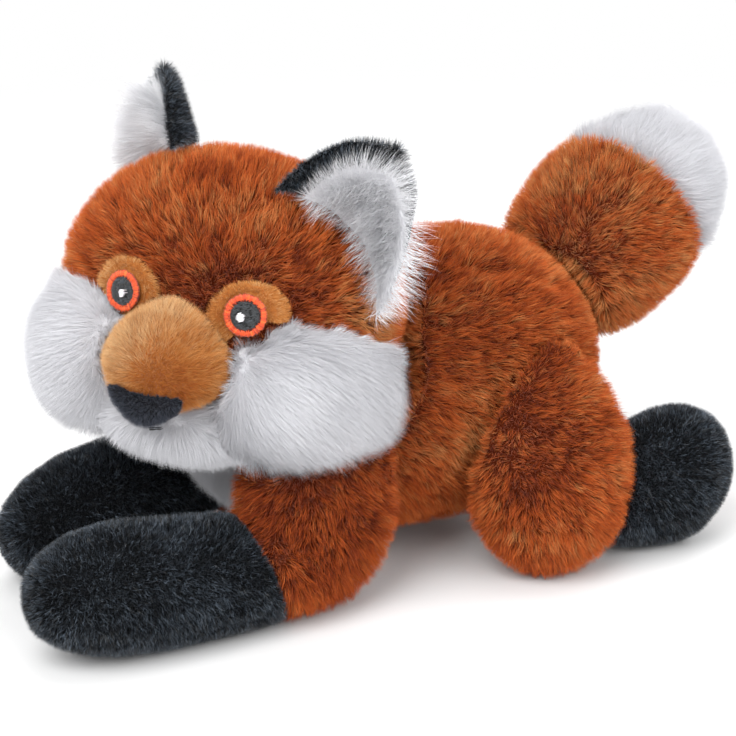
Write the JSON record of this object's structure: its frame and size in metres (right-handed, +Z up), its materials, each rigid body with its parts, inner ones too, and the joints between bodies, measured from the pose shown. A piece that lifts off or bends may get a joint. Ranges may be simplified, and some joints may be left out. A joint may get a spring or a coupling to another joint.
{
  "type": "plush fox",
  "caption": "Small stuffed plush fox lying down with its head turned to one side, ears folded out, and its tail raised.",
  "frame": {"origin": "middle of the footprint, on the surface that the fox lies on", "axes": "+Z up, -Y the way the body points, +X the fox's left flank"},
  "size_m": [0.1066, 0.2224, 0.1295],
  "materials": {
    "rust_plush": "long soft pile, matte with a slight sheen",
    "white_plush": "long soft pile, matte",
    "black_plush": "short dense pile with a silky sheen",
    "tan_plush": "short soft pile, matte",
    "nose_plush": "short stiff pile, matte",
    "orange_thread": "satin-stitched thread, silky",
    "dark_thread": "stitched thread, silky",
    "white_thread": "stitched thread, silky"
  },
  "bodies": {
    "torso": {"torso": "rust_plush", "chest_bib": "white_plush"},
    "head": {"head": "rust_plush", "muzzle": "tan_plush", "cheek_left": "white_plush", "cheek_right": "white_plush", "chin": "white_plush", "nose": "nose_plush", "mouth_stitch": "dark_thread", "eye_patch_left": "tan_plush", "eye_ring_left": "orange_thread", "pupil_left": "dark_thread", "eye_highlight_left": "white_thread", "eye_patch_right": "tan_plush", "eye_ring_right": "orange_thread", "pupil_right": "dark_thread", "eye_highlight_right": "white_thread"},
    "ear_left": {"ear_back_left": "black_plush", "ear_lining_left": "white_plush"},
    "ear_right": {"ear_back_right": "black_plush", "ear_lining_right": "white_plush"},
    "foreleg_left": {"front_upper_leg_left": "rust_plush", "front_paw_left": "black_plush"},
    "foreleg_right": {"front_upper_leg_right": "rust_plush", "front_paw_right": "black_plush"},
    "hind_leg_left": {"thigh_left": "rust_plush", "hind_foot_left": "black_plush"},
    "hind_leg_right": {"thigh_right": "rust_plush", "hind_foot_right": "black_plush"},
    "tail": {"tail": "rust_plush", "tail_tip": "white_plush"}
  },
  "joints": [
    {"name": "neck_turn", "type": "hinge", "parent": "torso", "child": "head", "pos_m": [-0.00669, -0.03401, 0.077], "axis": [0, 0, 1], "range_deg": [-12, 12], "stiffness_Nm_per_rad": 0.05},
    {"name": "ear_fold_left", "type": "hinge", "parent": "head", "child": "ear_left", "pos_m": [0.02897, -0.02464, 0.09747], "axis": [0.5665, 0.5421, -0.6207], "range_deg": [-15, 15], "stiffness_Nm_per_rad": 0.005},
    {"name": "ear_fold_right", "type": "hinge", "parent": "head", "child": "ear_right", "pos_m": [-0.01786, -0.04597, 0.10284], "axis": [-0.9134, 0.0658, -0.4017], "range_deg": [-15, 15], "stiffness_Nm_per_rad": 0.005},
    {"name": "foreleg_swing_left", "type": "hinge", "parent": "torso", "child": "foreleg_left", "pos_m": [0.02108, -0.03396, 0.045], "axis": [0, 0, 1], "range_deg": [-7, 7], "stiffness_Nm_per_rad": 0.08},
    {"name": "foreleg_swing_right", "type": "hinge", "parent": "torso", "child": "foreleg_right", "pos_m": [-0.02108, -0.02296, 0.045], "axis": [0, 0, 1], "range_deg": [-7, 7], "stiffness_Nm_per_rad": 0.08},
    {"name": "hind_leg_swing_left", "type": "hinge", "parent": "torso", "child": "hind_leg_left", "pos_m": [0.0238, 0.02929, 0.045], "axis": [0, 0, 1], "range_deg": [-7, 7], "stiffness_Nm_per_rad": 0.08},
    {"name": "hind_leg_swing_right", "type": "hinge", "parent": "torso", "child": "hind_leg_right", "pos_m": [-0.0238, 0.02929, 0.045], "axis": [0, 0, 1], "range_deg": [-7, 7], "stiffness_Nm_per_rad": 0.08},
    {"name": "tail_swing", "type": "hinge", "parent": "torso", "child": "tail", "pos_m": [0, 0.04519, 0.0562], "axis": [0, 0, 1], "range_deg": [-18, 18], "stiffness_Nm_per_rad": 0.02}
  ]
}
